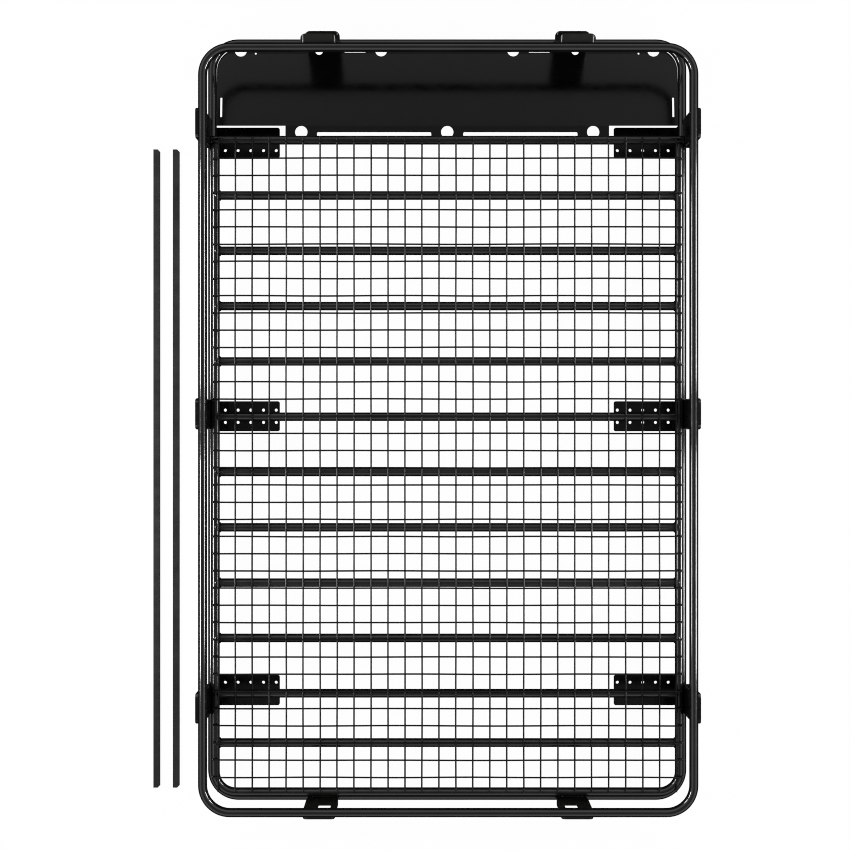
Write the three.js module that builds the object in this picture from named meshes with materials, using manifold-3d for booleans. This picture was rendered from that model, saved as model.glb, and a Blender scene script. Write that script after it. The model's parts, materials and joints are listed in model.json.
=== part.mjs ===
// Full-length steel vehicle roof rack: two tubular rails, a welded mesh floor on round crossbars,
// a sheet wind deflector at the front, pressed uprights, six perforated mounting feet, and the two
// loose flat strips of its kit lying beside it. Millimetres, +Z up, +Y towards the vehicle's front.
import * as THREE from 'three';
import { mergeVertices } from 'three/addons/utils/BufferGeometryUtils.js';
import Module from 'manifold-3d';

const wasm = await Module();
wasm.setup();

// ---------------------------------------------------------------- driving dimensions

const gap = 0.3; // clearance left between neighbouring pieces

// Rails: 1 inch tube, bent into two closed loops, one above the other.
const railRadius = 12.7;
const railWall = 1.6;
const railHalfWidth = 699; // centre line to rail axis
const railRearY = -1091;
const upperFrontY = 1086.5;
const lowerFrontY = 1147;
const railBend = 78;
const lowerRailZ = 68;
const upperRailZ = 218;
const drainHole = 6; // diameter of the hole that drains each closed loop

// Floor: a U-shaped frame on the lower rail's inner shoulder, crossbars and a welded mesh on top.
const barRadius = 12.7;
const barWall = 1.5;
const sideInset = 13; // floor frame axis inside the lower rail's axis, along the sides
const rearInset = 18; // and along the rear
const firstBarY = 854.5;
const barPitch = 163.6;
const barCount = 12;
const lastBarStep = 146; // the rearmost bar stands closer to its neighbour
const meshHalfWidth = 678;
const meshFrontY = 850;
const meshRearY = -1028;
const meshBar = 6; // width of the bars that stand for the mesh wires
const meshHeight = 8.8; // two crossed wires' height
const meshColumns = 8;
const meshRows = 10;

// Wind deflector: one folded sheet between the front of the lower rail and the first crossbar.
const sheet = 2;
const deflectorFrontZ = 60;
const deflectorRearZ = 75.6;
const frontFoldY = 1119;
const rearFoldY = 901;
const deflectorRearY = 846;
const rearFlangeHalfWidth = 480.5;

// Uprights: pressed trays between the two rails. Their rims are rounded off at the lips' ends.
const sideTray = { width: 90, depth: 24, lipCorner: 5 };
const rearTray = { width: 94, depth: 24, lipCorner: 5 };
const frontTray = { width: 105, depth: 37, lipCorner: 16 };
const trayCorner = 12;
const trayWall = 3;
const endTrayX = 370; // centre line to the front and rear uprights
const sideTrayY = { front: 876, middle: 44, rear: -799 };
const rearWindow = { width: 36, height: 26, inward: 13, raised: 21 };

// Feet: folded plates under the lower rail, with two rows of mounting holes.
const footWidth = 91;
const footReach = 192; // rail axis to the plate's inner end
const footPlate = 5;
const footStations = {
  front: { y: 868.5, rowShift: -5 }, // of the hole rows, off the plate's middle
  middle: { y: 38.5, rowShift: 0 },
  rear: { y: -792.5, rowShift: 5 },
};
const footCorner = 6;
const footHole = 9.5;
const footHolePitch = 38.6;
const footHoleRow = 18.7; // centre line to each row
const footHolesPerRow = 5;
const footFirstHole = 27; // rail axis to the first hole

// Loose strips beside the rack.
const stripLength = 1936;
const stripWidth = 20;
const stripHeight = 6;
const stripChamfer = 7;
const stripMidY = -120;
const stripX = [-880, -821];

// Facets.
const tubeSides = 12;
const boreSides = 8;
const bendSteps = 5;
const holeSides = 8;
const cutOutSides = 12;
const prismHeight = 120; // of the prisms that trim and pierce the folded pieces

// ---------------------------------------------------------------- worked out from them

const floorFrameX = railHalfWidth - sideInset;
const floorFrameRearY = railRearY + rearInset;
const shoulderRise = Math.sqrt((railRadius + barRadius + gap) ** 2 - sideInset ** 2);
const floorZ = lowerRailZ + shoulderRise;
const firstBarHalfLength = railHalfWidth - railRadius - gap;
const barHalfLength = floorFrameX - barRadius - gap;
const meshZ = floorZ + barRadius + gap;

// The origin is the centre of the footprint's bounding box, strips included, on the ground.
const rackRight = railHalfWidth + sideTray.depth;
const stripsLeft = stripX[0] - stripWidth / 2;
const frontLean = Math.atan2(lowerFrontY - upperFrontY, upperRailZ - lowerRailZ);
const trayFoot = railRadius + gap; // rail axis to the end of an upright
const trayHeight = upperRailZ - lowerRailZ - 2 * trayFoot;
const noseY = lowerFrontY - trayFoot * Math.sin(frontLean) + frontTray.depth * Math.cos(frontLean);
const rackRear = railRearY - rearTray.depth;
const originX = (rackRight + stripsLeft) / 2;
const originY = (noseY + rackRear) / 2;

// ---------------------------------------------------------------- finishes

const satinBlack = { color: 0x151618, roughness: 0.36, metalness: 0.0 };
const finishes = {
  rail: satinBlack,
  floor: { color: 0x131416, roughness: 0.4, metalness: 0.0 },
  deflector: { color: 0x1d1e20, roughness: 0.45, metalness: 0.0 },
  upright: { color: 0x1c1d1c, roughness: 0.42, metalness: 0.0 },
  foot: { color: 0x121314, roughness: 0.45, metalness: 0.0 },
  strip: { color: 0x26272a, roughness: 0.6, metalness: 0.0 },
};

const rack = new THREE.Group();
rack.position.set(-originX, -originY, 0);

function addPiece(name, finish, geometry) {
  const mesh = new THREE.Mesh(geometry, new THREE.MeshStandardMaterial(finishes[finish]));
  mesh.name = name;
  rack.add(mesh);
  return mesh;
}

// ---------------------------------------------------------------- solids

function toManifold(geometry) {
  const bare = geometry.clone();
  bare.deleteAttribute('normal');
  bare.deleteAttribute('uv');
  const merged = mergeVertices(bare, 1e-3);
  return new wasm.Manifold(new wasm.Mesh({
    numProp: 3,
    vertProperties: new Float32Array(merged.attributes.position.array),
    triVerts: new Uint32Array(merged.index.array),
  }));
}

function toGeometry(manifold) {
  const mesh = manifold.getMesh();
  const geometry = new THREE.BufferGeometry();
  geometry.setAttribute('position', new THREE.BufferAttribute(mesh.vertProperties, 3));
  geometry.setIndex(new THREE.BufferAttribute(mesh.triVerts, 1));
  const faceted = geometry.toNonIndexed();
  faceted.computeVertexNormals();
  return faceted;
}

function extruded(shape, depth, segments = 6) {
  return new THREE.ExtrudeGeometry(shape, { depth, bevelEnabled: false, curveSegments: segments });
}

function polygonPath(radius, sides, x = 0, y = 0) {
  const points = [];
  for (let i = 0; i < sides; i += 1) {
    const angle = (2 * Math.PI * (i + 0.5)) / sides;
    points.push(new THREE.Vector2(x + radius * Math.cos(angle), y + radius * Math.sin(angle)));
  }
  return new THREE.Path(points);
}

function boxPath(left, rear, right, front) {
  return new THREE.Path([
    new THREE.Vector2(left, rear),
    new THREE.Vector2(right, rear),
    new THREE.Vector2(right, front),
    new THREE.Vector2(left, front),
  ]);
}

function roundedRectangle(width, height, radius) {
  const x = width / 2 - radius;
  const y = height / 2 - radius;
  const shape = new THREE.Shape();
  shape.absarc(x, -y, radius, -Math.PI / 2, 0);
  shape.absarc(x, y, radius, 0, Math.PI / 2);
  shape.absarc(-x, y, radius, Math.PI / 2, Math.PI);
  shape.absarc(-x, -y, radius, Math.PI, 1.5 * Math.PI);
  return shape;
}

// A tube's axis: straight runs with a station only at each end, and bends with a few stations.
class BentAxis extends THREE.Curve {
  constructor(stations) {
    super();
    this.stations = stations;
  }

  getSpacedPoints() {
    return this.stations.map((station) => station.point.clone());
  }

  getTangentAt(u, target = new THREE.Vector3()) {
    const index = Math.round(u * (this.stations.length - 1));
    return target.copy(this.stations[index].tangent);
  }

  get steps() {
    return this.stations.length - 1;
  }
}

// Stations of a level quarter bend about (x, y), turning left from the given heading.
function bendStations(x, y, z, radius, heading) {
  const stations = [];
  for (let i = 0; i <= bendSteps; i += 1) {
    const turn = heading + (i / bendSteps) * (Math.PI / 2);
    const point = new THREE.Vector3(x + radius * Math.sin(turn), y - radius * Math.cos(turn), z);
    stations.push({ point, tangent: new THREE.Vector3(Math.cos(turn), Math.sin(turn), 0) });
  }
  return stations;
}

function loopAxis(halfWidth, rearY, frontY, z, radius) {
  const x = halfWidth - radius;
  const stations = [
    ...bendStations(x, rearY + radius, z, radius, 0),
    ...bendStations(x, frontY - radius, z, radius, Math.PI / 2),
    ...bendStations(-x, frontY - radius, z, radius, Math.PI),
    ...bendStations(-x, rearY + radius, z, radius, 1.5 * Math.PI),
  ];
  stations.push(stations[0]);
  return new BentAxis(stations);
}

function tubeSection(radius, wall) {
  const section = new THREE.Shape(polygonPath(radius, tubeSides).getPoints());
  section.holes.push(polygonPath(radius - wall, boreSides));
  return section;
}

function openTube(axis, radius, wall) {
  const options = { steps: axis.steps, extrudePath: axis, bevelEnabled: false };
  return new THREE.ExtrudeGeometry(tubeSection(radius, wall), options);
}

// A closed loop has no ends, so only the side faces are kept. A drain hole opens its bore.
function closedTube(axis, radius, wall, z, rearY) {
  const swept = openTube(axis, radius, wall);
  const sides = swept.groups[1];
  const first = 3 * sides.start;
  const corners = swept.attributes.position.array.slice(first, first + 3 * sides.count);
  const loop = new THREE.BufferGeometry();
  loop.setAttribute('position', new THREE.BufferAttribute(corners, 3));
  const drain = new THREE.CylinderGeometry(drainHole / 2, drainHole / 2, radius, holeSides);
  drain.rotateX(Math.PI / 2);
  drain.translate(0, rearY, z - radius);
  return toGeometry(toManifold(loop).subtract(toManifold(drain)));
}

// An upright prism of a plan outline, taller than every folded piece.
function prism(plan) {
  const solid = extruded(plan, prismHeight, 3);
  solid.translate(0, 0, -1);
  return toManifold(solid);
}

// A folded sheet: the profile runs across the width, the outline trims it, the cut-outs pierce it.
function foldedSheet(profile, width, outline, cutOuts) {
  const folded = extruded(new THREE.Shape(profile), width);
  folded.rotateX(Math.PI / 2);
  folded.rotateZ(Math.PI / 2);
  folded.translate(-width / 2, 0, 0);
  let solid = toManifold(folded).intersect(prism(outline));
  for (const path of cutOuts) {
    solid = solid.subtract(prism(new THREE.Shape(path.getPoints())));
  }
  return solid;
}

// ---------------------------------------------------------------- rails

function buildRails() {
  const loops = [
    { name: 'upper_rail', frontY: upperFrontY, z: upperRailZ },
    { name: 'lower_rail', frontY: lowerFrontY, z: lowerRailZ },
  ];
  for (const { name, frontY, z } of loops) {
    const axis = loopAxis(railHalfWidth, railRearY, frontY, z, railBend);
    addPiece(name, 'rail', closedTube(axis, railRadius, railWall, z, railRearY));
  }
}

// ---------------------------------------------------------------- floor

function buildFloorFrame() {
  const radius = railBend - rearInset;
  const x = floorFrameX - radius;
  const y = floorFrameRearY + radius;
  const endY = firstBarY - barRadius - gap;
  const ahead = new THREE.Vector3(0, 1, 0);
  const axis = new BentAxis([
    { point: new THREE.Vector3(-floorFrameX, endY, floorZ), tangent: ahead.clone().negate() },
    ...bendStations(-x, y, floorZ, radius, 1.5 * Math.PI),
    ...bendStations(x, y, floorZ, radius, 0),
    { point: new THREE.Vector3(floorFrameX, endY, floorZ), tangent: ahead },
  ]);
  addPiece('floor_frame', 'floor', openTube(axis, barRadius, barWall));
}

function barY(index) {
  if (index === barCount - 1) {
    return firstBarY - (barCount - 2) * barPitch - lastBarStep;
  }
  return firstBarY - index * barPitch;
}

function buildCrossbars() {
  const along = new THREE.Vector3(1, 0, 0);
  for (let i = 0; i < barCount; i += 1) {
    const half = i === 0 ? firstBarHalfLength : barHalfLength;
    const axis = new BentAxis([
      { point: new THREE.Vector3(-half, 0, 0), tangent: along },
      { point: new THREE.Vector3(half, 0, 0), tangent: along },
    ]);
    const name = `crossbar_${String(i + 1).padStart(2, '0')}`;
    const bar = addPiece(name, 'floor', openTube(axis, barRadius, barWall));
    bar.position.set(0, barY(i), floorZ);
  }
}

// Both edges of each bar in turn, so even intervals are bars and odd ones are the gaps between.
function barEdges(from, to, cells) {
  const pitch = (to - from - meshBar) / cells;
  const edges = [];
  for (let i = 0; i <= cells; i += 1) {
    edges.push(from + i * pitch, from + i * pitch + meshBar);
  }
  return edges;
}

// A flat grid of bars, faceted cell by cell so that every corner is shared.
function gridGeometry(xs, ys, height) {
  const columns = xs.length - 1;
  const rows = ys.length - 1;
  const positions = [];
  const isBar = (column, row) => {
    const inside = column >= 0 && row >= 0 && column < columns && row < rows;
    return inside && (column % 2 === 0 || row % 2 === 0);
  };
  const addQuad = (a, b, c, d) => positions.push(...a, ...b, ...c, ...a, ...c, ...d);
  const addWall = ([x0, y0], [x1, y1]) => {
    addQuad([x0, y0, 0], [x1, y1, 0], [x1, y1, height], [x0, y0, height]);
  };
  for (let column = 0; column < columns; column += 1) {
    for (let row = 0; row < rows; row += 1) {
      if (isBar(column, row)) {
        const [x0, x1] = [xs[column], xs[column + 1]];
        const [y0, y1] = [ys[row], ys[row + 1]];
        addQuad([x0, y0, height], [x1, y0, height], [x1, y1, height], [x0, y1, height]);
        addQuad([x0, y0, 0], [x0, y1, 0], [x1, y1, 0], [x1, y0, 0]);
        if (!isBar(column, row - 1)) addWall([x0, y0], [x1, y0]);
        if (!isBar(column + 1, row)) addWall([x1, y0], [x1, y1]);
        if (!isBar(column, row + 1)) addWall([x1, y1], [x0, y1]);
        if (!isBar(column - 1, row)) addWall([x0, y1], [x0, y0]);
      }
    }
  }
  const geometry = new THREE.BufferGeometry();
  geometry.setAttribute('position', new THREE.Float32BufferAttribute(positions, 3));
  geometry.computeVertexNormals();
  return geometry;
}

function buildFloorMesh() {
  const xs = barEdges(-meshHalfWidth, meshHalfWidth, meshColumns);
  const ys = barEdges(meshRearY, meshFrontY, meshRows);
  const mesh = addPiece('floor_mesh', 'floor', gridGeometry(xs, ys, meshHeight));
  mesh.position.z = meshZ;
}

// ---------------------------------------------------------------- wind deflector

function deflectorOutline() {
  const side = railHalfWidth - railRadius - gap;
  const front = lowerFrontY - railRadius - gap;
  const corner = railBend - railRadius;
  const outline = new THREE.Shape();
  outline.moveTo(-rearFlangeHalfWidth, deflectorRearY);
  outline.lineTo(rearFlangeHalfWidth, deflectorRearY);
  outline.lineTo(rearFlangeHalfWidth, rearFoldY);
  outline.lineTo(side, rearFoldY);
  outline.absarc(side - corner, front - corner, corner, 0, Math.PI / 2);
  outline.absarc(corner - side, front - corner, corner, Math.PI / 2, Math.PI);
  outline.lineTo(-side, rearFoldY);
  outline.lineTo(-rearFlangeHalfWidth, rearFoldY);
  return outline;
}

function deflectorCutOuts() {
  const rounds = [
    { x: 0, y: 882, radius: 18.5 },
    { x: 433.5, y: 882, radius: 18.5 },
    { x: 197, y: 1129, radius: 17.5 },
    { x: 615.5, y: 1129, radius: 18 },
    { x: 382, y: 1127, radius: 11 },
    { x: 571, y: 1120, radius: 3 },
  ];
  const slots = [
    { inner: 47.5, outer: 387, rear: 868, front: 882 },
    { inner: 243, outer: 306, rear: 1123, front: 1130 },
    { inner: 669, outer: 675, rear: 927, front: 986 },
  ];
  const paths = [];
  for (const { x, y, radius } of rounds) {
    for (const mirroredX of new Set([x, -x])) {
      paths.push(polygonPath(radius, cutOutSides, mirroredX, y));
    }
  }
  for (const { inner, outer, rear, front } of slots) {
    paths.push(boxPath(inner, rear, outer, front));
    paths.push(boxPath(-outer, rear, -inner, front));
  }
  return paths;
}

function buildDeflector() {
  const frontY = lowerFrontY;
  const profile = [
    new THREE.Vector2(deflectorRearY - sheet, deflectorRearZ),
    new THREE.Vector2(rearFoldY, deflectorRearZ),
    new THREE.Vector2(frontFoldY, deflectorFrontZ),
    new THREE.Vector2(frontY, deflectorFrontZ),
    new THREE.Vector2(frontY, deflectorFrontZ + sheet),
    new THREE.Vector2(frontFoldY, deflectorFrontZ + sheet),
    new THREE.Vector2(rearFoldY, deflectorRearZ + sheet),
    new THREE.Vector2(deflectorRearY - sheet, deflectorRearZ + sheet),
  ];
  const width = 2 * railHalfWidth;
  const solid = foldedSheet(profile, width, deflectorOutline(), deflectorCutOuts());
  addPiece('wind_deflector', 'deflector', toGeometry(solid));
}

// ---------------------------------------------------------------- uprights

// A rectangle on the web's line, y = 0, whose two corners at the lip are rounded off.
function lipOutline(width, depth, corner) {
  const x = width / 2;
  const outline = new THREE.Shape();
  outline.moveTo(-x, 0);
  outline.lineTo(-x, corner - depth);
  outline.absarc(corner - x, corner - depth, corner, Math.PI, 1.5 * Math.PI);
  outline.absarc(x - corner, corner - depth, corner, 1.5 * Math.PI, 2 * Math.PI);
  outline.lineTo(x, 0);
  return outline;
}

// A pressed tray standing on the XZ plane: its web's back is at y = 0 and its rim points to -Y.
function tray(height, { width, depth, lipCorner }, windowX) {
  const shell = extruded(roundedRectangle(width, height, trayCorner), depth, 3);
  const inner = roundedRectangle(
    width - 2 * trayWall,
    height - 2 * trayWall,
    trayCorner - trayWall,
  );
  const pocket = extruded(inner, depth, 3);
  pocket.translate(0, 0, trayWall);
  let solid = toManifold(shell).subtract(toManifold(pocket));
  if (windowX) {
    const opening = new THREE.BoxGeometry(rearWindow.width, rearWindow.height, 4 * trayWall);
    opening.translate(windowX, rearWindow.raised, 0);
    solid = solid.subtract(toManifold(opening));
  }
  const lips = extruded(lipOutline(width, depth, lipCorner), height, 3);
  const standing = solid.rotate([90, 0, 0]).translate([0, 0, height / 2]);
  return toGeometry(standing.intersect(toManifold(lips)));
}

function buildSideUprights() {
  for (const [place, y] of Object.entries(sideTrayY)) {
    for (const [side, sign] of [['left', -1], ['right', 1]]) {
      const upright = addPiece(`side_upright_${place}_${side}`, 'upright', tray(trayHeight, sideTray));
      upright.rotation.z = (sign * Math.PI) / 2;
      upright.position.set(sign * railHalfWidth, y, lowerRailZ + trayFoot);
    }
  }
}

function buildEndUprights() {
  const frontSpan = Math.hypot(lowerFrontY - upperFrontY, upperRailZ - lowerRailZ);
  const frontHeight = frontSpan - 2 * trayFoot;
  for (const [side, sign] of [['left', -1], ['right', 1]]) {
    const windowX = -sign * rearWindow.inward;
    const rear = addPiece(`rear_upright_${side}`, 'upright', tray(trayHeight, rearTray, windowX));
    rear.position.set(sign * endTrayX, railRearY, lowerRailZ + trayFoot);

    const front = addPiece(`front_upright_${side}`, 'upright', tray(frontHeight, frontTray));
    front.rotation.set(frontLean, 0, Math.PI);
    front.position.set(
      sign * endTrayX,
      lowerFrontY - trayFoot * Math.sin(frontLean),
      lowerRailZ + trayFoot * Math.cos(frontLean),
    );
  }
}

// ---------------------------------------------------------------- feet

// A right-hand foot about the rail axis: a plate reaching inwards, folded up under the rail.
function footSolid(rowShift) {
  const legTop = lowerRailZ - railRadius - gap;
  const legHalf = footPlate / 2;
  const profile = [
    new THREE.Vector2(-footReach, 0),
    new THREE.Vector2(legHalf, 0),
    new THREE.Vector2(legHalf, legTop),
    new THREE.Vector2(-legHalf, legTop),
    new THREE.Vector2(-legHalf, footPlate),
    new THREE.Vector2(-footReach, footPlate),
  ];
  const folded = extruded(new THREE.Shape(profile), footWidth);
  folded.rotateX(Math.PI / 2);
  folded.translate(0, footWidth / 2, 0);

  const outline = prism(roundedRectangle(footReach + legHalf, footWidth, footCorner));
  let solid = toManifold(folded).intersect(outline.translate((legHalf - footReach) / 2, 0, 0));
  for (let i = 0; i < footHolesPerRow; i += 1) {
    const x = -footFirstHole - i * footHolePitch;
    for (const y of [rowShift - footHoleRow, rowShift + footHoleRow]) {
      const hole = polygonPath(footHole / 2, holeSides, x, y);
      solid = solid.subtract(prism(new THREE.Shape(hole.getPoints())));
    }
  }
  return toGeometry(solid);
}

function buildFeet() {
  for (const [place, { y, rowShift }] of Object.entries(footStations)) {
    for (const [side, sign] of [['left', -1], ['right', 1]]) {
      const foot = addPiece(`foot_${place}_${side}`, 'foot', footSolid(sign * rowShift));
      foot.rotation.z = sign > 0 ? 0 : Math.PI;
      foot.position.set(sign * railHalfWidth, y, 0);
    }
  }
}

// ---------------------------------------------------------------- loose strips

function buildStrips() {
  const half = stripLength / 2;
  const side = stripWidth / 2;
  const outline = new THREE.Shape([
    new THREE.Vector2(-side, -half),
    new THREE.Vector2(side - stripChamfer, -half),
    new THREE.Vector2(side, stripChamfer - half),
    new THREE.Vector2(side, half - stripChamfer),
    new THREE.Vector2(side - stripChamfer, half),
    new THREE.Vector2(-side, half),
  ]);
  for (const [index, name] of ['loose_strip_outer', 'loose_strip_inner'].entries()) {
    const strip = addPiece(name, 'strip', extruded(outline, stripHeight));
    strip.position.set(stripX[index], stripMidY, 0);
  }
}

buildRails();
buildFloorFrame();
buildCrossbars();
buildFloorMesh();
buildDeflector();
buildSideUprights();
buildEndUprights();
buildFeet();
buildStrips();

export default rack;
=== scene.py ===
"""Looks of a welded steel roof rack with a mesh floor, and of the two loose strips beside it."""

import json
import math
import random

import bmesh
import bpy
from mathutils import Matrix, Vector

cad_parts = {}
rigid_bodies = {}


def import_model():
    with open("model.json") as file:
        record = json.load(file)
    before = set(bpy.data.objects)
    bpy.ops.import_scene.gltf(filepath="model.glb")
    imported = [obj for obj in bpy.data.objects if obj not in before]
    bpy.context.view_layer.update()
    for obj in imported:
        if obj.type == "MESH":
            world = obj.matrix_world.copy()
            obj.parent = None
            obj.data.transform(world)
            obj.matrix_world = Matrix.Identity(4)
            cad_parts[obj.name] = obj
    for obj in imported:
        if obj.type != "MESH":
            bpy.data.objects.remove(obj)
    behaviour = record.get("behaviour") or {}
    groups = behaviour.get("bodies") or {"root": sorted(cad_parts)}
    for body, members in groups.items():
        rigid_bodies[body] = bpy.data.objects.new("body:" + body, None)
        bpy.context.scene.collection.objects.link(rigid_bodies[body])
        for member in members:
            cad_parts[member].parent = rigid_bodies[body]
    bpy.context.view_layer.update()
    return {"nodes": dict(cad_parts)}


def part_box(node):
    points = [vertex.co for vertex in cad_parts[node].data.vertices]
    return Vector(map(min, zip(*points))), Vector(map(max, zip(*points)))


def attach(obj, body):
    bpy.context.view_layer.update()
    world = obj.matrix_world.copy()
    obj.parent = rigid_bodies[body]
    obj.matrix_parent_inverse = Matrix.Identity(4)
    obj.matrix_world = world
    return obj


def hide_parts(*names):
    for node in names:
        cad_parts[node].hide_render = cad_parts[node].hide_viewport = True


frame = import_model()
BOX = {name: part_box(name) for name in frame["nodes"]}
RNG = random.Random(11)

# ---------------------------------------------------------------- driving dimensions, in metres

RAIL_RADIUS = 0.0127
RAIL_BEND = 0.078
BAR_RADIUS = 0.0127
FRAME_BEND = 0.060
CAD_REACH = math.cos(math.pi / 12)  # a twelve-sided CAD tube's reach beside its axis, in radii
COPE_GAP = 0.001  # by how much less than a radius a crossbar enters the tube that it meets
TUBE_SIDES = 28
BEND_STEPS = 14

WIRE_RADIUS = 0.0024
WIRE_BITE = 0.0004  # how far crossed wires are pressed into each other
WIRE_SEAT = 0.0001  # how far the lower wires sink into the bars
WIRE_SIDES = 8
LENGTHWISE_WIRES = 28
LENGTHWISE_PITCH = 0.050
LENGTHWISE_POINTS = 46
CROSSWISE_WIRES = 38
CROSSWISE_PITCH = 0.0506
CROSSWISE_POINTS = 34
CROSSWISE_INSET = 0.0024  # the first wire, behind the CAD floor mesh's front edge
WIRE_WANDER = 0.0009  # how far a wire strays from its line
WANDER_STRENGTH = (0.6, 1.0)  # share of that in each of its waves
WANDER_SWEEP = (6.0, 21.0)  # radians of a wave along the wire
WANDER_PHASE = (0, 6.3)
WIRE_END_SCATTER = 0.002
FRONT_OVERHANG = 0.010  # wire ends beyond the CAD floor mesh
REAR_OVERHANG = 0.041
SIDE_OVERHANG = 0.0095

SHEET = 0.002
REAR_FOLD = 0.055  # deflector folds, ahead of its rear edge
FRONT_FOLD = 0.273
DEFLECTOR_CORNER = 0.0653
DEFLECTOR_CORNER_STEPS = 16
REAR_FLANGE_HALF = 0.4805
ROUND_CUT_OUTS = (  # beside the centre line, ahead of the rear edge, radius
    (0.0000, 0.036, 0.0185),
    (0.4335, 0.036, 0.0185),
    (0.1970, 0.283, 0.0175),
    (0.6155, 0.283, 0.0180),
    (0.3820, 0.281, 0.0110),
    (0.5710, 0.274, 0.0030),
)
SLOT_CUT_OUTS = (  # inner, outer, rear and front sides
    (0.0475, 0.387, 0.022, 0.036),
    (0.2430, 0.306, 0.277, 0.284),
    (0.6690, 0.675, 0.081, 0.140),
)
SLOT_ROUNDING = 0.3  # corner radius, as a share of the slot's shorter side
SLOT_CORNER_STEPS = 4

TRAY_CORNER = 0.012
TRAY_WALL = 0.003
TRAY_BEND = 0.005
TRAY_BEND_STEPS = 5
TRAY_FOOT = 0.013  # rail axis to the end of an upright
END_TRAY_X = 0.370
FRONT_TRAY_DEPTH = 0.037
LIP_CORNER = 0.005
FRONT_LIP_CORNER = 0.016
WINDOW_SIZE = (0.036, 0.026)  # of the rear uprights
WINDOW_SHIFT = (0.013, 0.021)  # towards the centre line, above the middle
WINDOW_CORNER = 0.003

FOOT_PLATE = 0.005
FOOT_CORNER = 0.006
FOOT_BEND = 0.003  # inside radius
FOOT_HOLE = 0.00475  # radius
FOOT_HOLE_SIDES = 20
FOOT_HOLE_PITCH = 0.0386
FOOT_HOLE_ROW = 0.0187
FOOT_HOLES = 5
FOOT_FIRST_HOLE = 0.027
FOOT_ROW_SHIFT = {"front": -0.005, "middle": 0.0, "rear": 0.005}  # off the plate's middle

STRIP_CHAMFER = 0.007
CUT_MARGIN = 0.001  # how far a solid stands past the outline that it is cut to
CUT_LOW = -0.010  # cutters reach from here, under every plate
CUT_HIGH = 0.110  # to here, above every plate
ROUND_STEPS = 28  # sides of a round cut-out
CORNER_STEPS = 6
EDGE = 0.0006  # rounding of sheared edges
EDGE_SEGMENTS = 2
EDGE_ANGLE = math.radians(50)  # corners sharper than this are rounded
SHARP_ANGLE = math.radians(35)  # edges sharper than this are shaded as edges
FLAT_AREA = 0.0001  # a cut plate's faces above this size are its flats

BEAD_RADIUS = 0.0026
BEAD_SIDES = 8
BEAD_STEP = 0.0014
BEAD_RIPPLE = 0.12
BEAD_RIPPLE_PITCH = 0.0042
BEAD_TAPER = (0.35, 0.75)  # radii of an open bead's first points, as shares of the full one
SADDLE_STEPS = 64
SADDLE_LIFT = 0.4  # of the bead's radius, off the tube that the crossbar meets
STITCH_LENGTH = 0.032
STITCH_PITCH = 0.277
STITCH_START = 0.060  # ahead of the lower rail's rear bends
STITCH_LIFT = 0.004  # off the line where the floor frame meets the lower rail
BLOB_LATITUDES = (-80, -45, 0, 45, 80)
BLOB_SIDES = 8
SPOT_WELD = (0.0027, 0.0027, 0.0016)  # half a weld's size across, along and upwards
SPOT_WELD_SIDES = 6
BAR_TACK = (0.0036, 0.0042, 0.0018)
BAR_TACK_LIFT = 0.0005
BAR_TACK_EVERY = 3  # wires
FRAME_TACK = (0.0044, 0.0034, 0.0030)
FRAME_TACK_LIFT = 0.0008
FRAME_TACK_OUT = 0.004
UPRIGHT_BEAD_INSET = 0.004  # from the round corners
UPRIGHT_BEAD_DROP = 0.0005
UPRIGHT_BEAD_BACK = 0.001
FOOT_BEAD_INSET = 0.006
FOOT_BEAD_DROP = 0.0008
FOOT_BEAD_OUT = 0.0008

UP = Vector((0, 0, 1))

# ---------------------------------------------------------------- worked out from the CAD boxes


def middle(name):
    low, high = BOX[name]
    return (low + high) / 2


def size(name):
    low, high = BOX[name]
    return high - low


RACK_X = middle("upper_rail").x
RAIL_HALF_WIDTH = size("upper_rail").x / 2 - RAIL_RADIUS * CAD_REACH
RAIL_REAR = BOX["upper_rail"][0].y + RAIL_RADIUS * CAD_REACH
UPPER_FRONT = BOX["upper_rail"][1].y - RAIL_RADIUS * CAD_REACH
LOWER_FRONT = BOX["lower_rail"][1].y - RAIL_RADIUS * CAD_REACH
UPPER_Z = middle("upper_rail").z
LOWER_Z = middle("lower_rail").z
FRAME_X = size("floor_frame").x / 2 - BAR_RADIUS * CAD_REACH
FRAME_REAR = BOX["floor_frame"][0].y + BAR_RADIUS * CAD_REACH
FLOOR_Z = middle("floor_frame").z
FRONT_LEAN = math.atan2(LOWER_FRONT - UPPER_FRONT, UPPER_Z - LOWER_Z)
LOWER_WIRE_Z = FLOOR_Z + BAR_RADIUS + WIRE_RADIUS - WIRE_SEAT
UPPER_WIRE_Z = LOWER_WIRE_Z + 2 * WIRE_RADIUS - WIRE_BITE

# ---------------------------------------------------------------- materials

MOTTLE = (9.0, 5.0)  # scale and detail of the noise
MOTTLE_SPREAD = (0.35, 0.65)  # the part of the noise's range that counts
SPECKS = (420.0, 2.0)
SPECKS_SPREAD = (0.62, 0.75)
UNEVENNESS = (34.0, 4.0)
UNEVENNESS_SPREAD = (0.3, 0.7)
ORANGE_PEEL = (380.0, 1.0)
DUST_COLOUR = (0.09, 0.088, 0.084)


def ramp(nodes, links, source, low, high, start, end):
    """A value that goes from start to end as source goes from low to high."""
    node = nodes.new("ShaderNodeMapRange")
    node.inputs["From Min"].default_value = low
    node.inputs["From Max"].default_value = high
    node.inputs["To Min"].default_value = start
    node.inputs["To Max"].default_value = end
    links.new(source, node.inputs["Value"])
    return node.outputs["Result"]


def noise(nodes, links, place, scale, detail):
    node = nodes.new("ShaderNodeTexNoise")
    node.inputs["Scale"].default_value = scale
    node.inputs["Detail"].default_value = detail
    links.new(place, node.inputs["Vector"])
    return node.outputs["Fac"]


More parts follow.
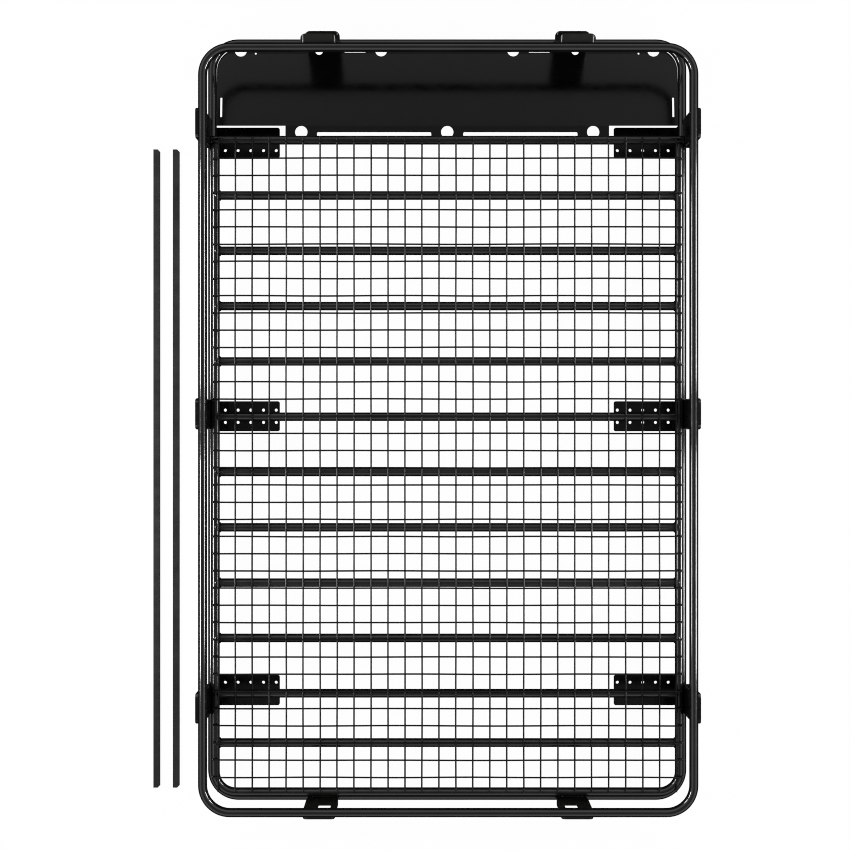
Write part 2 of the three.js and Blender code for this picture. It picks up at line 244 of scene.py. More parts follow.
def coating(name, dark, light, roughness, peel, dust, shine=0.5):
    """Baked paint on steel: mottled colour, uneven gloss, orange peel and a little dust.

    dark and light are the colour's limits, roughness has its own two, peel is the height of the
    orange peel in metres, dust the share of dust in a speck, and shine the specular level.
    """
    material = bpy.data.materials.new(name)
    material.use_nodes = True
    nodes = material.node_tree.nodes
    links = material.node_tree.links
    shader = nodes["Principled BSDF"]
    shader.inputs["Specular IOR Level"].default_value = shine
    place = nodes.new("ShaderNodeTexCoord").outputs["Object"]

    mottle = noise(nodes, links, place, *MOTTLE)
    colour = nodes.new("ShaderNodeMix")
    colour.data_type = "RGBA"
    colour.inputs["A"].default_value = (*dark, 1)
    colour.inputs["B"].default_value = (*light, 1)
    links.new(ramp(nodes, links, mottle, *MOTTLE_SPREAD, 0.0, 1.0), colour.inputs["Factor"])

    specks = noise(nodes, links, place, *SPECKS)
    dusty = nodes.new("ShaderNodeMix")
    dusty.data_type = "RGBA"
    dusty.inputs["B"].default_value = (*DUST_COLOUR, 1)
    links.new(colour.outputs["Result"], dusty.inputs["A"])
    links.new(ramp(nodes, links, specks, *SPECKS_SPREAD, 0.0, dust), dusty.inputs["Factor"])
    links.new(dusty.outputs["Result"], shader.inputs["Base Color"])

    uneven = noise(nodes, links, place, *UNEVENNESS)
    rough = ramp(nodes, links, uneven, *UNEVENNESS_SPREAD, *roughness)
    links.new(rough, shader.inputs["Roughness"])

    bump = nodes.new("ShaderNodeBump")
    bump.inputs["Distance"].default_value = peel
    links.new(noise(nodes, links, place, *ORANGE_PEEL), bump.inputs["Height"])
    links.new(bump.outputs["Normal"], shader.inputs["Normal"])
    return material


def grey(value):
    return (value, value, value)


OLIVE_DARK = (0.0016, 0.0017, 0.0012)
OLIVE_LIGHT = (0.0034, 0.0036, 0.0026)

MATERIALS = {
    "rail_coat": coating(
        "satin_rail_paint",
        dark=grey(0.0015),
        light=grey(0.0030),
        roughness=(0.08, 0.15),
        peel=0.00001,
        dust=0.03,
        shine=0.6,
    ),
    "floor_coat": coating(
        "satin_floor_paint",
        dark=grey(0.0020),
        light=grey(0.0040),
        roughness=(0.14, 0.22),
        peel=0.00001,
        dust=0.04,
    ),
    "mesh_coat": coating(
        "mesh_paint",
        dark=grey(0.0008),
        light=grey(0.0020),
        roughness=(0.26, 0.38),
        peel=0.00001,
        dust=0.02,
        shine=0.16,
    ),
    "deflector_coat": coating(
        "sheet_paint",
        dark=grey(0.0016),
        light=grey(0.0030),
        roughness=(0.15, 0.21),
        peel=0.00002,
        dust=0.02,
        shine=0.42,
    ),
    "upright_coat": coating(
        "end_pressing_paint",
        dark=OLIVE_DARK,
        light=OLIVE_LIGHT,
        roughness=(0.24, 0.34),
        peel=0.00002,
        dust=0.03,
        shine=0.30,
    ),
    "foot_coat": coating(
        "foot_paint",
        dark=grey(0.0018),
        light=grey(0.0036),
        roughness=(0.20, 0.32),
        peel=0.00001,
        dust=0.03,
        shine=0.36,
    ),
    "strip_coat": coating(
        "strip_paint",
        dark=grey(0.0060),
        light=grey(0.0100),
        roughness=(0.30, 0.40),
        peel=0.00001,
        dust=0.03,
        shine=0.15,
    ),
}

# The side uprights' coat has the end ones' slot, but it is blacker and less olive: painted shade,
# the end pressings' paint darkened for the shade on the side webs between the rails.
SIDE_UPRIGHT_SHADED_PAINT = coating(
    "side_pressing_paint",
    dark=grey(0.0008),
    light=grey(0.0018),
    roughness=(0.24, 0.34),
    peel=0.00001,
    dust=0.02,
    shine=0.14,
)

# ---------------------------------------------------------------- mesh building


class Form:
    """The corners and faces of one mesh, in metres."""

    def __init__(self):
        self.points = []
        self.faces = []

    def add(self, points, faces):
        first = len(self.points)
        self.points.extend(points)
        self.faces.extend([first + corner for corner in face] for face in faces)

    def merge(self, other):
        self.add(other.points, other.faces)

    def add_rings(self, rings, closed=False):
        """Join rings of equally many corners with quads; an open row of rings gets end caps."""
        count = len(rings[0])
        spans = len(rings) if closed else len(rings) - 1
        faces = []
        for row in range(spans):
            here = row * count
            there = ((row + 1) % len(rings)) * count
            for i in range(count):
                j = (i + 1) % count
                faces.append((here + i, here + j, there + j, there + i))
        if not closed:
            last = (len(rings) - 1) * count
            faces.append(tuple(reversed(range(count))))
            faces.append(tuple(range(last, last + count)))
        self.add([point for ring in rings for point in ring], faces)


def mesh_from(form, name):
    mesh = bpy.data.meshes.new(name)
    mesh.from_pydata(form.points, [], form.faces)
    shell = bmesh.new()
    shell.from_mesh(mesh)
    bmesh.ops.recalc_face_normals(shell, faces=shell.faces)
    shell.to_mesh(mesh)
    shell.free()
    return mesh


def add_piece(name, mesh, coat, body="rack", stands_for=(), flat_area=1.0):
    """Put a mesh in the scene as a piece that rides on a CAD body, flat where its faces are big."""
    mesh.materials.clear()
    mesh.materials.append(MATERIALS[coat])
    mesh.shade_smooth()
    mesh.set_sharp_from_angle(angle=SHARP_ANGLE)
    for face in mesh.polygons:
        face.use_smooth = face.area < flat_area
    piece = bpy.data.objects.new(name, mesh)
    bpy.context.scene.collection.objects.link(piece)
    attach(piece, body)
    if stands_for:
        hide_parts(*stands_for)


def add_form(name, form, coat):
    """Put a form in the scene as a piece of the rack that stands for no CAD node."""
    add_piece(name, mesh_from(form, name), coat)


def tube_rings(axis, radius, sides, closed=False, reference=UP):
    """Round sections along an axis; radius is a number, or one number for each point."""
    count = len(axis)
    radii = radius if isinstance(radius, list) else [radius] * count
    rings = []
    for i, point in enumerate(axis):
        before = axis[i - 1] if closed or i > 0 else point
        after = axis[(i + 1) % count] if closed or i < count - 1 else point
        heading = Vector()
        if before != point:
            heading += (point - before).normalized()
        if after != point:
            heading += (after - point).normalized()
        side = heading.cross(reference).normalized()
        rise = side.cross(heading).normalized()
        ring = []
        for k in range(sides):
            angle = 2 * math.pi * k / sides
            ring.append(point + radii[i] * (math.cos(angle) * side + math.sin(angle) * rise))
        rings.append(ring)
    return rings


def quarter_bend(x, y, z, radius, heading):
    """Points of a level quarter bend about (x, y) that turns left from the given heading."""
    points = []
    for i in range(BEND_STEPS + 1):
        turn = heading + (math.pi / 2) * i / BEND_STEPS
        points.append(Vector((x + radius * math.sin(turn), y - radius * math.cos(turn), z)))
    return points


def bead_radii(points, closed):
    """A weld bead's radii along its points: ripples, tapering at both ends if it is open."""
    radii = []
    travelled = 0.0
    for i, point in enumerate(points):
        if i:
            travelled += (point - points[i - 1]).length
        wave = math.sin(2 * math.pi * travelled / BEAD_RIPPLE_PITCH)
        radii.append(BEAD_RADIUS * (1 + BEAD_RIPPLE * wave))
    if not closed:
        for i, share in enumerate(BEAD_TAPER):
            radii[i] *= share
            radii[-1 - i] *= share
    return radii


def add_bead(form, points, closed=False, reference=UP):
    radii = bead_radii(points, closed)
    form.add_rings(tube_rings(points, radii, BEAD_SIDES, closed, reference), closed)


def straight(start, end):
    """Points of a straight bead from start to end, about a step apart."""
    count = round((end - start).length / BEAD_STEP)
    return [start.lerp(end, i / count) for i in range(count + 1)]


def add_blob(form, centre, half_size, sides=BLOB_SIDES):
    """A flattened drop of weld metal."""
    across, along, tall = half_size
    rings = []
    for latitude in BLOB_LATITUDES:
        level = math.radians(latitude)
        rise = tall * math.sin(level)
        ring = []
        for k in range(sides):
            angle = 2 * math.pi * k / sides
            x = across * math.cos(level) * math.cos(angle)
            y = along * math.cos(level) * math.sin(angle)
            ring.append(centre + Vector((x, y, rise)))
        rings.append(ring)
    form.add_rings(rings)


# ---------------------------------------------------------------- rails


def build_rails():
    for name, front, z in (
        ("upper_rail", UPPER_FRONT, UPPER_Z),
        ("lower_rail", LOWER_FRONT, LOWER_Z),
    ):
        x = RAIL_HALF_WIDTH - RAIL_BEND
        rear_y = RAIL_REAR + RAIL_BEND
        front_y = front - RAIL_BEND
        axis = []
        for turn, (side, y) in enumerate(((1, rear_y), (1, front_y), (-1, front_y), (-1, rear_y))):
            axis += quarter_bend(RACK_X + side * x, y, z, RAIL_BEND, turn * math.pi / 2)
        form = Form()
        form.add_rings(tube_rings(axis, RAIL_RADIUS, TUBE_SIDES, closed=True), closed=True)
        add_piece(f"{name}_tube", mesh_from(form, name), "rail_coat", stands_for=(name,))


# ---------------------------------------------------------------- floor


def build_floor_frame():
    x = FRAME_X - FRAME_BEND
    y = FRAME_REAR + FRAME_BEND
    front = BOX["floor_frame"][1].y
    axis = [
        Vector((RACK_X - FRAME_X, front, FLOOR_Z)),
        *quarter_bend(RACK_X - x, y, FLOOR_Z, FRAME_BEND, 1.5 * math.pi),
        *quarter_bend(RACK_X + x, y, FLOOR_Z, FRAME_BEND, 0),
        Vector((RACK_X + FRAME_X, front, FLOOR_Z)),
    ]
    form = Form()
    form.add_rings(tube_rings(axis, BAR_RADIUS, TUBE_SIDES))
    mesh = mesh_from(form, "floor_frame")
    add_piece("floor_frame_tube", mesh, "floor_coat", stands_for=("floor_frame",))


def crossbar_names():
    return sorted(name for name in BOX if name.startswith("crossbar"))


def build_crossbars():
    """Bars coped to the tubes that they meet: each runs a little way inside them."""
    for name in crossbar_names():
        low, high = BOX[name]
        y = middle(name).y
        coping = Vector((BAR_RADIUS - COPE_GAP, 0, 0))
        start = Vector((low.x, y, FLOOR_Z)) - coping
        end = Vector((high.x, y, FLOOR_Z)) + coping
        form = Form()
        form.add_rings(tube_rings([start, end], BAR_RADIUS, TUBE_SIDES))
        add_piece(f"{name}_tube", mesh_from(form, name), "floor_coat", stands_for=(name,))


def wander(count):
    """How far a wire strays sideways at each of its points, as the sum of two waves."""
    waves = []
    for _ in range(2):
        strength = RNG.uniform(*WANDER_STRENGTH)
        sweep = RNG.uniform(*WANDER_SWEEP)
        waves.append((strength, sweep, RNG.uniform(*WANDER_PHASE)))
    strays = []
    for i in range(count):
        along = i / count
        stray = sum(rise * math.sin(sweep * along + phase) for rise, sweep, phase in waves)
        strays.append(WIRE_WANDER * stray / 2)
    return strays


def scattered(place):
    """The place of a wire's end, a little off from where it should be."""
    return place + RNG.uniform(-WIRE_END_SCATTER, WIRE_END_SCATTER)


def lengthwise_x(index):
    return RACK_X + (index - (LENGTHWISE_WIRES - 1) / 2) * LENGTHWISE_PITCH


def crosswise_y(index):
    return BOX["floor_mesh"][1].y - CROSSWISE_INSET - index * CROSSWISE_PITCH


def build_lengthwise_wires():
    low, high = BOX["floor_mesh"]
    form = Form()
    for i in range(LENGTHWISE_WIRES):
        front = scattered(high.y + FRONT_OVERHANG)
        rear = scattered(low.y - REAR_OVERHANG)
        axis = []
        for k, stray in enumerate(wander(LENGTHWISE_POINTS)):
            y = front + (rear - front) * k / (LENGTHWISE_POINTS - 1)
            axis.append(Vector((lengthwise_x(i) + stray, y, LOWER_WIRE_Z)))
        form.add_rings(tube_rings(axis, WIRE_RADIUS, WIRE_SIDES))
    mesh = mesh_from(form, "lengthwise_wires")
    add_piece("lengthwise_wires", mesh, "mesh_coat", stands_for=("floor_mesh",))


def build_crosswise_wires():
    reach = size("floor_mesh").x / 2 + SIDE_OVERHANG
    form = Form()
    for i in range(CROSSWISE_WIRES):
        left = scattered(RACK_X - reach)
        right = scattered(RACK_X + reach)
        axis = []
        for k, stray in enumerate(wander(CROSSWISE_POINTS)):
            x = left + (right - left) * k / (CROSSWISE_POINTS - 1)
            axis.append(Vector((x, crosswise_y(i) + stray, UPPER_WIRE_Z)))
        form.add_rings(tube_rings(axis, WIRE_RADIUS, WIRE_SIDES))
    add_form("crosswise_wires", form, "mesh_coat")


def build_spot_welds():
    """A weld at each crossing of two wires."""
    form = Form()
    for i in range(LENGTHWISE_WIRES):
        for j in range(CROSSWISE_WIRES):
            place = Vector((lengthwise_x(i), crosswise_y(j), (LOWER_WIRE_Z + UPPER_WIRE_Z) / 2))
            add_blob(form, place, SPOT_WELD, SPOT_WELD_SIDES)
    add_form("wire_spot_welds", form, "mesh_coat")


def build_tack_welds():
    """Welds of the wires to the crossbars and to the floor frame's sides."""
    form = Form()
    crown = FLOOR_Z + BAR_RADIUS
    for name in crossbar_names():
        for i in range(0, LENGTHWISE_WIRES, BAR_TACK_EVERY):
            place = Vector((lengthwise_x(i), middle(name).y, crown + BAR_TACK_LIFT))
            add_blob(form, place, BAR_TACK)
    for j in range(CROSSWISE_WIRES):
        for side in (-1, 1):
            x = RACK_X + side * (FRAME_X + FRAME_TACK_OUT)
            add_blob(form, Vector((x, crosswise_y(j), crown + FRAME_TACK_LIFT)), FRAME_TACK)
    add_form("mesh_tack_welds", form, "mesh_coat")


def build_wire_mesh():
    build_lengthwise_wires()
    build_crosswise_wires()
    build_spot_welds()
    build_tack_welds()


# ---------------------------------------------------------------- welds


def saddle(x, y, z, side):
    """The joint of a crossbar's end with a tube of its own size that runs lengthwise."""
    points = []
    for k in range(SADDLE_STEPS):
        angle = 2 * math.pi * k / SADDLE_STEPS
        across = BAR_RADIUS * math.cos(angle)
        rise = BAR_RADIUS * math.sin(angle)
        inset = BAR_RADIUS * abs(math.cos(angle)) + BEAD_RADIUS * SADDLE_LIFT
        points.append(Vector((x - side * inset, y + across, z + rise)))
    return points


def build_crossbar_welds():
    """Beads round the ends of the crossbars, but for the first one, which is longer."""
    form = Form()
    for name in crossbar_names()[1:]:
        for side in (-1, 1):
            joint = saddle(RACK_X + side * FRAME_X, middle(name).y, FLOOR_Z, side)
            add_bead(form, joint, closed=True, reference=Vector((1, 0, 0)))
    add_form("crossbar_welds", form, "floor_coat")


def build_frame_stitches():
    """Short beads in the groove over the line where the floor frame lies on the lower rail."""
    form = Form()
    to_frame = Vector((FRAME_X - RAIL_HALF_WIDTH, 0, FLOOR_Z - LOWER_Z)).normalized()
    for side in (-1, 1):
        direction = Vector((side * to_frame.x, 0, to_frame.z))
        groove = Vector((side * to_frame.z, 0, -to_frame.x))
        contact = Vector((RACK_X + side * RAIL_HALF_WIDTH, 0, LOWER_Z)) + direction * RAIL_RADIUS
        line = contact + groove * STITCH_LIFT
        y = RAIL_REAR + RAIL_BEND + STITCH_START
        while y < BOX["floor_frame"][1].y - STITCH_LENGTH:
            start = Vector((line.x, y, line.z))
            add_bead(form, straight(start, start + Vector((0, STITCH_LENGTH, 0))))
            y += STITCH_PITCH
    add_form("floor_frame_stitches", form, "floor_coat")


# ---------------------------------------------------------------- uprights


def rounded_rectangle(width, height, radius, steps=CORNER_STEPS):
    """Corners of a rounded rectangle about the origin, in order."""
    points = []
    for turn, (right, top) in enumerate(((1, -1), (1, 1), (-1, 1), (-1, -1))):
        x = right * (width / 2 - radius)
        y = top * (height / 2 - radius)
        for i in range(steps + 1):
            angle = (turn - 1) * math.pi / 2 + (math.pi / 2) * i / steps
            points.append((x + radius * math.cos(angle), y + radius * math.sin(angle)))
    return points


def tray_section(depth):
    """The pressing's wall as (inset, depth) pairs, from the web's back round the rim."""
    turns = [(math.pi / 2) * i / TRAY_BEND_STEPS for i in range(TRAY_BEND_STEPS + 1)]
    section = []
    for angle in turns:
        inset = TRAY_BEND * (1 - math.sin(angle))
        section.append((inset, TRAY_BEND * (1 - math.cos(angle))))
    section += [(0, depth), (TRAY_WALL, depth)]
    inside = TRAY_BEND - TRAY_WALL
    for angle in reversed(turns):
        inset = TRAY_WALL + inside * (1 - math.sin(angle))
        section.append((inset, TRAY_WALL + inside * (1 - math.cos(angle))))
    return section


def tray_mesh(name, width, height, depth, lip_corner, window=None):
    """A pressed tray with its web's back on y = 0 and its rim towards +y, about the z axis."""

    def ring(across, tall, radius, out, shift=(0, 0)):
        outline = rounded_rectangle(across, tall, radius)
        return [Vector((shift[0] + x, out, shift[1] + z)) for x, z in outline]

    rings = []
    for inset, out in tray_section(depth):
        rings.append(ring(width - 2 * inset, height - 2 * inset, TRAY_CORNER - inset, out))
    if window:
        for out in (TRAY_WALL, 0):
            rings.append(ring(*WINDOW_SIZE, WINDOW_CORNER, out, window))
    form = Form()
    form.add_rings(rings, closed=bool(window))
    lips = rounded_rectangle(width, 2 * depth, lip_corner)
    return cut_plate(name, form, kept=upright_prism(lips, -height, height))


def place_upright(beads, name, mesh, foot, outwards, rise, height, width):
    """Stand a tray on its foot point and lay a weld bead along its bottom and its top."""
    across = outwards.cross(rise)
    axes = Matrix((across, outwards, rise)).transposed().to_4x4()
    stand = Matrix.Translation(foot + rise * (height / 2)) @ axes
    mesh.transform(stand)
    piece = f"{name}_pressing"
    add_piece(piece, mesh, "upright_coat", stands_for=(name,), flat_area=FLAT_AREA)
    # The side pressings get the darker copy of the paint: painted shade for the webs between the
    # rails.
    if name.startswith("side"):
        mesh.materials[0] = SIDE_UPRIGHT_SHADED_PAINT
    reach = width / 2 - TRAY_CORNER - UPRIGHT_BEAD_INSET
    for end in (-1, 1):
        z = end * (height / 2 - UPRIGHT_BEAD_DROP)
        start = stand @ Vector((-reach, -UPRIGHT_BEAD_BACK, z))
        finish = stand @ Vector((reach, -UPRIGHT_BEAD_BACK, z))
        add_bead(beads, straight(start, finish))


def build_side_uprights(beads):
    for end in ("front", "middle", "rear"):
        for hand, side in (("left", -1), ("right", 1)):
            name = f"side_upright_{end}_{hand}"
            depth, width, height = size(name)
            mesh = tray_mesh(name, width, height, depth, LIP_CORNER)
            foot = Vector((RACK_X + side * RAIL_HALF_WIDTH, middle(name).y, BOX[name][0].z))
            place_upright(beads, name, mesh, foot, Vector((side, 0, 0)), UP, height, width)


def build_end_uprights(beads):
    span = math.hypot(LOWER_FRONT - UPPER_FRONT, UPPER_Z - LOWER_Z)
    tilt = Vector((0, -math.sin(FRONT_LEAN), math.cos(FRONT_LEAN)))
    ahead = Vector((0, math.cos(FRONT_LEAN), math.sin(FRONT_LEAN)))
    front_height = span - 2 * TRAY_FOOT
    for hand, side in (("left", -1), ("right", 1)):
        name = f"rear_upright_{hand}"
        width, depth, rear_height = size(name)
        window = (side * WINDOW_SHIFT[0], WINDOW_SHIFT[1])
        mesh = tray_mesh(name, width, rear_height, depth, LIP_CORNER, window)
        foot = Vector((RACK_X + side * END_TRAY_X, RAIL_REAR, LOWER_Z + TRAY_FOOT))
        place_upright(beads, name, mesh, foot, Vector((0, -1, 0)), UP, rear_height, width)

        name = f"front_upright_{hand}"
        width = size(name).x
        mesh = tray_mesh(name, width, front_height, FRONT_TRAY_DEPTH, FRONT_LIP_CORNER)
        foot = Vector((RACK_X + side * END_TRAY_X, LOWER_FRONT, LOWER_Z)) + tilt * TRAY_FOOT
        place_upright(beads, name, mesh, foot, ahead, tilt, front_height, width)


def build_uprights():
    beads = Form()
    build_side_uprights(beads)
    build_end_uprights(beads)
    add_form("upright_welds", beads, "upright_coat")


# ---------------------------------------------------------------- cut and folded plates


def extrude_outline(outline, lift, depth):
    """A prism of an outline; lift turns (a, b, along) into a point."""
    form = Form()
    form.add_rings([[lift(a, b, along) for a, b in outline] for along in (0, depth)])
    return form


def upright_prism(outline, low=CUT_LOW, high=CUT_HIGH):
    return extrude_outline(outline, lambda a, b, along: Vector((a, b, low + along)), high - low)


def circle(x, y, radius, steps=ROUND_STEPS):
    points = []
    for k in range(steps):
        angle = 2 * math.pi * k / steps
        points.append((x + radius * math.cos(angle), y + radius * math.sin(angle)))
    return points


def shifted(outline, x, y):
    return [(a + x, b + y) for a, b in outline]


def cut_plate(name, solid, kept=None, removed=None):
    """Trim a solid to the kept prism, take the removed prisms out, and round its edges."""
    scene = bpy.context.scene
    workpiece = bpy.data.objects.new(name, mesh_from(solid, name))
    scene.collection.objects.link(workpiece)
    tools = []
    for operation, form in (("INTERSECT", kept), ("DIFFERENCE", removed)):
        if form is None:
            continue
        tool = bpy.data.objects.new(f"{name}_{operation}", mesh_from(form, operation))
        scene.collection.objects.link(tool)
        tools.append(tool)
        cut = workpiece.modifiers.new(operation, "BOOLEAN")
        cut.operation = operation
        cut.solver = "EXACT"
        cut.object = tool
    rounding = workpiece.modifiers.new("edges", "BEVEL")
    rounding.width = EDGE
    rounding.segments = EDGE_SEGMENTS
    rounding.angle_limit = EDGE_ANGLE
    graph = bpy.context.evaluated_depsgraph_get()
    mesh = bpy.data.meshes.new_from_object(workpiece.evaluated_get(graph), depsgraph=graph)
    for spent in (*tools, workpiece):
        bpy.data.objects.remove(spent)
    mesh.name = name
    return mesh


def bend_points(x, z, radius, start, end, steps=CORNER_STEPS):
    """Points of a bend about (x, z) between two angles in degrees."""
    points = []
    for i in range(steps + 1):
        angle = math.radians(start + (end - start) * i / steps)
        points.append((x + radius * math.cos(angle), z + radius * math.sin(angle)))
    return points


# ---------------------------------------------------------------- wind deflector


def deflector_profile():
    """The folded sheet's edge as (ahead of the rear edge, height above the front flange)."""
    rise = size("wind_deflector").z - SHEET
    length = size("wind_deflector").y
    top = [(-CUT_MARGIN, rise), (REAR_FOLD, rise), (FRONT_FOLD, 0), (length + CUT_MARGIN, 0)]
    return top + [(y, z + SHEET) for y, z in reversed(top)]


def deflector_outline(half, length):
    """The sheet from above: round front corners, and a rear flange that is a little narrower."""
    x = half - DEFLECTOR_CORNER
    y = length - DEFLECTOR_CORNER
    return [
        (-REAR_FLANGE_HALF, 0),
        (REAR_FLANGE_HALF, 0),
        (REAR_FLANGE_HALF, REAR_FOLD),
        (half, REAR_FOLD),
        *bend_points(x, y, DEFLECTOR_CORNER, 0, 90, DEFLECTOR_CORNER_STEPS),
        *bend_points(-x, y, DEFLECTOR_CORNER, 90, 180, DEFLECTOR_CORNER_STEPS),
        (-half, REAR_FOLD),
        (-REAR_FLANGE_HALF, REAR_FOLD),
    ]


def mirrored(beside):
    """Where a cut-out is beside the centre line: on both sides, or only on the line."""
    return (beside, -beside) if beside else (beside,)


def deflector_cut_outs():
    removed = Form()
    for beside, ahead, radius in ROUND_CUT_OUTS:
        for x in mirrored(beside):
            removed.merge(upright_prism(circle(x, ahead, radius)))
    for inner, outer, rear, front in SLOT_CUT_OUTS:
        width = outer - inner
        length = front - rear
        corner = min(width, length) * SLOT_ROUNDING
        slot = rounded_rectangle(width, length, corner, SLOT_CORNER_STEPS)
        for x in mirrored((inner + outer) / 2):
            removed.merge(upright_prism(shifted(slot, x, (rear + front) / 2)))
    return removed


def build_deflector():
    name = "wind_deflector"
    half = size(name).x / 2
    reach = half + CUT_MARGIN
    solid = extrude_outline(
        deflector_profile(), lambda a, b, along: Vector((along - reach, a, b)), 2 * reach
    )
    kept = upright_prism(deflector_outline(half, size(name).y))
    mesh = cut_plate("deflector", solid, kept, deflector_cut_outs())
    low, _ = BOX[name]
    mesh.transform(Matrix.Translation((RACK_X, low.y, low.z)))
    sheet = f"{name}_sheet"
    add_piece(sheet, mesh, "deflector_coat", stands_for=(name,), flat_area=FLAT_AREA)


# ---------------------------------------------------------------- feet


def foot_mesh(reach, width, height, row_shift):
    """A right-hand foot about the rail axis: a plate that is folded up under the rail."""
    half = FOOT_PLATE / 2
    outer = FOOT_BEND + FOOT_PLATE
    profile = [
        (-reach - CUT_MARGIN, 0),
        *bend_points(half - outer, outer, outer, -90, 0),
        (half, height),
        (-half, height),
        *bend_points(-half - FOOT_BEND, outer, FOOT_BEND, 0, -90),
        (-reach - CUT_MARGIN, FOOT_PLATE),
    ]
    side = width / 2 + CUT_MARGIN
    solid = extrude_outline(profile, lambda a, b, along: Vector((a, along - side, b)), 2 * side)
    outline = rounded_rectangle(reach + half + CUT_MARGIN, width, FOOT_CORNER)
    kept = upright_prism(shifted(outline, (half + CUT_MARGIN - reach) / 2, 0))
    removed = Form()
    for i in range(FOOT_HOLES):
        for row in (-1, 1):
            x = -FOOT_FIRST_HOLE - i * FOOT_HOLE_PITCH
            y = row_shift + row * FOOT_HOLE_ROW
            removed.merge(upright_prism(circle(x, y, FOOT_HOLE, FOOT_HOLE_SIDES)))
    return cut_plate("foot", solid, kept, removed)


def add_foot_beads(beads, name, axis):
    """A weld bead on each face of a foot's leg, along its top."""
    half_length = Vector((0, size(name).y / 2 - FOOT_BEAD_INSET, 0))
    for face in (-1, 1):
        x = axis + face * (FOOT_PLATE / 2 + FOOT_BEAD_OUT)
        spot = Vector((x, middle(name).y, size(name).z - FOOT_BEAD_DROP))
        add_bead(beads, straight(spot - half_length, spot + half_length))


def build_feet():
    beads = Form()
    for end, row_shift in FOOT_ROW_SHIFT.items():
        for hand, side in (("left", -1), ("right", 1)):
            name = f"foot_{end}_{hand}"
            low, high = BOX[name]
            axis = RACK_X + side * RAIL_HALF_WIDTH
            reach = axis - low.x if side > 0 else high.x - axis
            mesh = foot_mesh(reach, size(name).y, size(name).z, side * row_shift)
            turn = Matrix.Rotation(0 if side > 0 else math.pi, 4, "Z")
            mesh.transform(Matrix.Translation((axis, middle(name).y, 0)) @ turn)
            add_piece(f"{name}_plate", mesh, "foot_coat", stands_for=(name,), flat_area=FLAT_AREA)
            add_foot_beads(beads, name, axis)
    add_form("foot_welds", beads, "foot_coat")


# ---------------------------------------------------------------- loose strips


def build_strips():
    for place in ("outer", "inner"):
        name = f"loose_strip_{place}"
        low, high = BOX[name]
        outline = [
            (low.x, low.y),
            (high.x - STRIP_CHAMFER, low.y),
            (high.x, low.y + STRIP_CHAMFER),
            (high.x, high.y - STRIP_CHAMFER),
            (high.x - STRIP_CHAMFER, high.y),
            (low.x, high.y),
        ]
        mesh = cut_plate(name, upright_prism(outline, low.z, high.z))
        body = f"strip_{place}"
        add_piece(f"{name}_bar", mesh, "strip_coat", body, stands_for=(name,), flat_area=FLAT_AREA)


# ---------------------------------------------------------------- studio

PIXEL_BLUR = 1.0  # width of the pixel filter: a crisp product picture
STAGE_GLOW = 0.97
STAGE_GREY = (0.012, 0.012, 0.012)
STAGE_REACH = 30.0
STAGE_LOW = -0.0005  # just under the feet
STAGE_HIGH = 45.0
SOFTBOX_PLACE = (2.13, 0.66, 1.47)  # beside, ahead and above, mirrored to four
SOFTBOX_AIM = (0.70, 0.66, 0.20)
SOFTBOX_SIZE = (1.00, 0.36)
SOFTBOX_RADIANCE = 52.0
UNLIT_PIECES = ("wind_deflector", "foot")  # how the names of the pieces begin
SKY = (  # sine of the elevation, brightness
    (0.05, 0.01),
    (0.25, 0.45),
    (0.50, 1.10),
    (0.80, 0.90),
    (0.93, 0.30),
    (1.00, 0.22),
)


def add_stage(name, mesh):
    """A plain surface of the studio, which glows so that it stays white under the rack."""
    material = bpy.data.materials.new(name)
    material.use_nodes = True
    shader = material.node_tree.nodes["Principled BSDF"]
    shader.inputs["Base Color"].default_value = (*STAGE_GREY, 1)
    shader.inputs["Specular IOR Level"].default_value = 0.0
    shader.inputs["Emission Color"].default_value = (1, 1, 1, 1)
    shader.inputs["Emission Strength"].default_value = STAGE_GLOW
    mesh.materials.append(material)
    surface = bpy.data.objects.new(name, mesh)
    bpy.context.scene.collection.objects.link(surface)
    surface.visible_glossy = False
    return surface


def build_stage():
    reach = STAGE_REACH
    corners = [(-reach, -reach), (reach, -reach), (reach, reach), (-reach, reach)]
    floor = bpy.data.meshes.new("studio_floor")
    floor.from_pydata([(x, y, STAGE_LOW) for x, y in corners], [], [(0, 1, 2, 3)])
    add_stage("studio_floor", floor)

    walls = bpy.data.meshes.new("studio_walls")
    points = [(x, y, z) for z in (STAGE_LOW, STAGE_HIGH) for x, y in corners]
    walls.from_pydata(points, [], [(i, (i + 1) % 4, (i + 1) % 4 + 4, i + 4) for i in range(4)])
    add_stage("studio_walls", walls).visible_diffuse = False


def unlit_plates():
    """The flat plates, which the softboxes leave unlit, or they would glare from low down."""
    plates = bpy.data.collections.new("plates_without_glare")
    for piece in bpy.data.objects:
        if piece.name.startswith(UNLIT_PIECES):
            plates.objects.link(piece)
    for member in plates.collection_objects:
        member.light_linking.link_state = "EXCLUDE"
    return plates


def add_softbox(name, place, aim, unlit):
    """A softbox that faces from its place to its aim, and lights all but the unlit pieces."""
    width, height = SOFTBOX_SIZE
    data = bpy.data.lights.new(name, "AREA")
    data.shape = "RECTANGLE"
    data.size = width
    data.size_y = height
    data.energy = SOFTBOX_RADIANCE * math.pi * width * height
    light = bpy.data.objects.new(name, data)
    facing = (Vector(place) - Vector(aim)).normalized()
    side = UP.cross(facing).normalized()
    rise = facing.cross(side)
    axes = Matrix((side, rise, facing)).transposed().to_4x4()
    light.matrix_world = Matrix.Translation(place) @ axes
    light.visible_camera = False
    light.light_linking.receiver_collection = unlit
    bpy.context.scene.collection.objects.link(light)


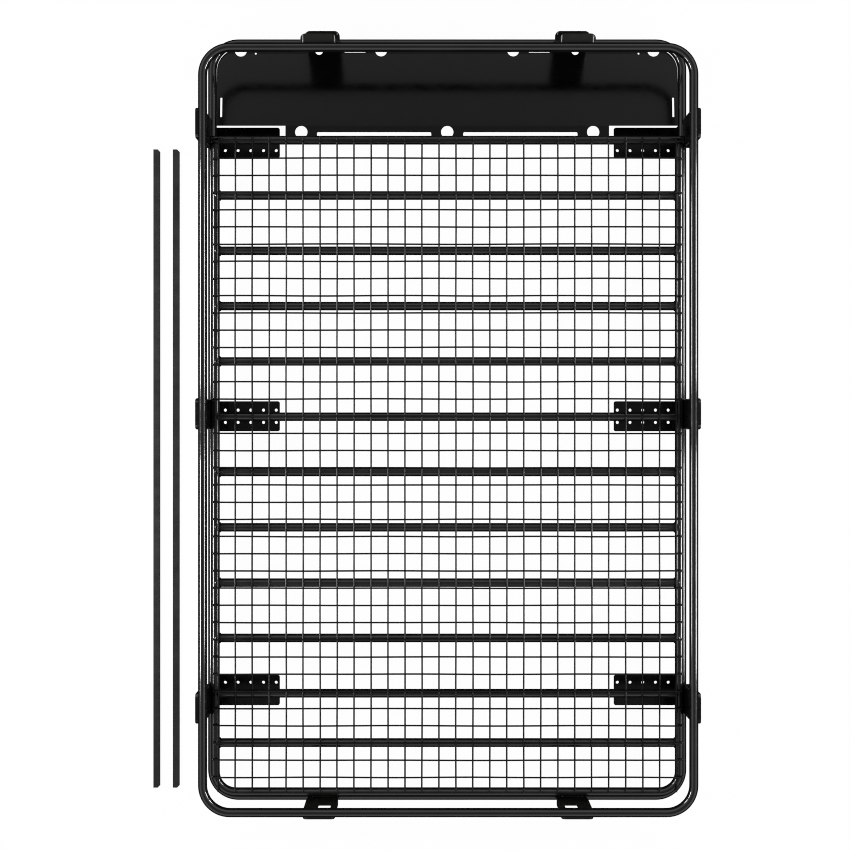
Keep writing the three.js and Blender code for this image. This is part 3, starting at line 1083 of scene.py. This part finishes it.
def build_sky():
    world = bpy.data.worlds.new("studio")
    world.use_nodes = True
    nodes = world.node_tree.nodes
    links = world.node_tree.links
    split = nodes.new("ShaderNodeSeparateXYZ")
    links.new(nodes.new("ShaderNodeTexCoord").outputs["Generated"], split.inputs["Vector"])
    brightness = nodes.new("ShaderNodeValToRGB")
    stops = brightness.color_ramp.elements
    stops[0].position, stops[1].position = SKY[0][0], SKY[-1][0]
    for level, _ in SKY[1:-1]:
        stops.new(level)
    for stop, (_, value) in zip(stops, SKY):
        stop.color = (value, value, value, 1)
    links.new(split.outputs["Z"], brightness.inputs["Fac"])
    links.new(brightness.outputs["Color"], nodes["Background"].inputs["Color"])
    bpy.context.scene.world = world


def build_studio():
    build_stage()
    beside, ahead, above = SOFTBOX_PLACE
    aim_beside, aim_ahead, aim_above = SOFTBOX_AIM
    unlit = unlit_plates()
    for hand, side in (("left", -1), ("right", 1)):
        for place, end in (("rear", -1), ("front", 1)):
            add_softbox(
                f"softbox_{place}_{hand}",
                (RACK_X + side * beside, end * ahead, above),
                (RACK_X + side * aim_beside, end * aim_ahead, aim_above),
                unlit,
            )
    build_sky()
    bpy.context.scene.view_settings.view_transform = "Standard"
    bpy.context.scene.cycles.filter_width = PIXEL_BLUR


# ---------------------------------------------------------------- camera

CAMERA_LENS = 48.1  # millimetres, like the sensor's width
CAMERA_SENSOR = 36.0
CAMERA_SHIFT = -0.0007
CAMERA_BESIDE = -0.0643  # of the rack's centre line
CAMERA_AHEAD = 1.103  # of the rear rail's axis
CAMERA_HEIGHT = 3.45


def build_camera():
    data = bpy.data.cameras.new("camera")
    data.lens = CAMERA_LENS
    data.sensor_width = CAMERA_SENSOR
    camera = bpy.data.objects.new("camera", data)
    data.shift_x = CAMERA_SHIFT
    camera.location = (RACK_X + CAMERA_BESIDE, RAIL_REAR + CAMERA_AHEAD, CAMERA_HEIGHT)
    bpy.context.scene.collection.objects.link(camera)
    bpy.context.scene.camera = camera


build_rails()
build_floor_frame()
build_crossbars()
build_wire_mesh()
build_crossbar_welds()
build_frame_stitches()
build_uprights()
build_deflector()
build_feet()
build_strips()
build_studio()
build_camera()
